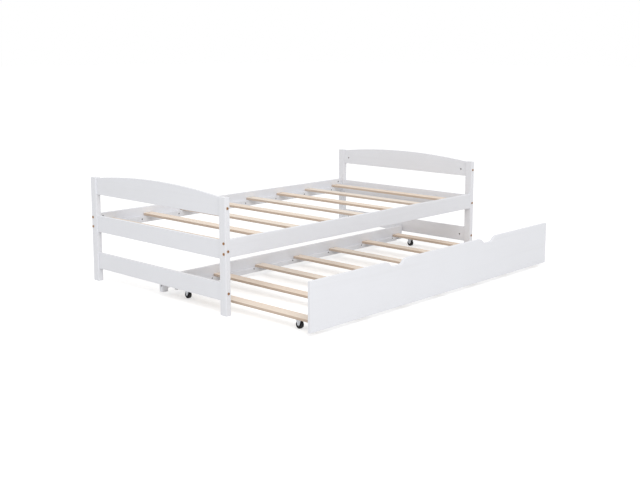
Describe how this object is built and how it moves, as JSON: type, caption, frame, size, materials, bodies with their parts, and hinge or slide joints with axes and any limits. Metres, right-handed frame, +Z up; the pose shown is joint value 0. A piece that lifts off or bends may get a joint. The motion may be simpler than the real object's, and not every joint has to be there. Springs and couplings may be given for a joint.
{
  "type": "trundle bed",
  "caption": "Low white wooden single bed with arched head and foot boards and bare pine slats, over a rolling trundle bed that pulls out from under its front side rail.",
  "frame": {"origin": "on the floor, midway between the trundle's front panel and the bed's rear side, and midway between the end boards", "axes": "+X from the foot board to the head board, -Y towards the side that the trundle comes out of, +Z up"},
  "size_m": [2.006, 1.599, 0.588],
  "materials": {
    "white_paint": "satin white paint over solid wood",
    "slat_pine": "planed bare pine",
    "bronze_bolt": "bronze plated",
    "zinc_steel": "zinc plated",
    "nut_steel": "plain oiled steel",
    "dark_screw": "black phosphate",
    "wheel_plastic": "moulded black plastic",
    "dowel_beech": "plain beech"
  },
  "bodies": {
    "bed": {"foot_front_post": "white_paint", "foot_rear_post": "white_paint", "head_front_post": "white_paint", "head_rear_post": "white_paint", "foot_top_rail": "white_paint", "foot_middle_rail": "white_paint", "foot_lower_rail": "white_paint", "head_top_rail": "white_paint", "head_middle_rail": "white_paint", "head_lower_rail": "white_paint", "front_side_rail": "white_paint", "rear_side_rail": "white_paint", "front_ledger": "white_paint", "rear_ledger": "white_paint", "bed_slat_1": "slat_pine", "bed_slat_2": "slat_pine", "bed_slat_3": "slat_pine", "bed_slat_4": "slat_pine", "bed_slat_5": "slat_pine", "bed_slat_6": "slat_pine", "bed_slat_7": "slat_pine", "bed_slat_8": "slat_pine", "end_rail_bolts": "bronze_bolt", "end_rail_nuts": "nut_steel", "dowels": "dowel_beech", "side_rail_bolts": "bronze_bolt", "side_rail_nuts": "nut_steel", "bed_slat_screws": "zinc_steel", "bed_ledger_screws": "dark_screw"},
    "trundle": {"trundle_front_panel": "white_paint", "trundle_back_rail": "white_paint", "trundle_foot_post": "white_paint", "trundle_head_post": "white_paint", "trundle_front_ledger": "white_paint", "trundle_back_ledger": "white_paint", "trundle_slat_1": "slat_pine", "trundle_slat_2": "slat_pine", "trundle_slat_3": "slat_pine", "trundle_slat_4": "slat_pine", "trundle_slat_5": "slat_pine", "trundle_slat_6": "slat_pine", "trundle_slat_7": "slat_pine", "foot_front_caster_bracket": "zinc_steel", "foot_back_caster_bracket": "zinc_steel", "head_front_caster_bracket": "zinc_steel", "head_back_caster_bracket": "zinc_steel", "foot_front_caster_axle": "zinc_steel", "foot_back_caster_axle": "zinc_steel", "head_front_caster_axle": "zinc_steel", "head_back_caster_axle": "zinc_steel", "trundle_slat_screws": "zinc_steel", "trundle_ledger_screws": "dark_screw", "trundle_post_screws": "dark_screw", "caster_screws": "zinc_steel"},
    "foot_front_wheel": {"foot_front_wheel": "wheel_plastic"},
    "foot_back_wheel": {"foot_back_wheel": "wheel_plastic"},
    "head_front_wheel": {"head_front_wheel": "wheel_plastic"},
    "head_back_wheel": {"head_back_wheel": "wheel_plastic"}
  },
  "joints": [
    {"name": "trundle_slide", "type": "slide", "parent": "bed", "child": "trundle", "axis": [0, -1, 0], "range_m": [-0.5, 0.56]},
    {"name": "foot_front_wheel_roll", "type": "hinge", "parent": "trundle", "child": "foot_front_wheel", "pos_m": [-0.9, -0.6615, 0.019], "axis": [1, 0, 0], "continuous": true},
    {"name": "foot_back_wheel_roll", "type": "hinge", "parent": "trundle", "child": "foot_back_wheel", "pos_m": [-0.9, 0.1195, 0.019], "axis": [1, 0, 0], "continuous": true},
    {"name": "head_front_wheel_roll", "type": "hinge", "parent": "trundle", "child": "head_front_wheel", "pos_m": [0.9, -0.6615, 0.019], "axis": [1, 0, 0], "continuous": true},
    {"name": "head_back_wheel_roll", "type": "hinge", "parent": "trundle", "child": "head_back_wheel", "pos_m": [0.9, 0.1195, 0.019], "axis": [1, 0, 0], "continuous": true}
  ]
}
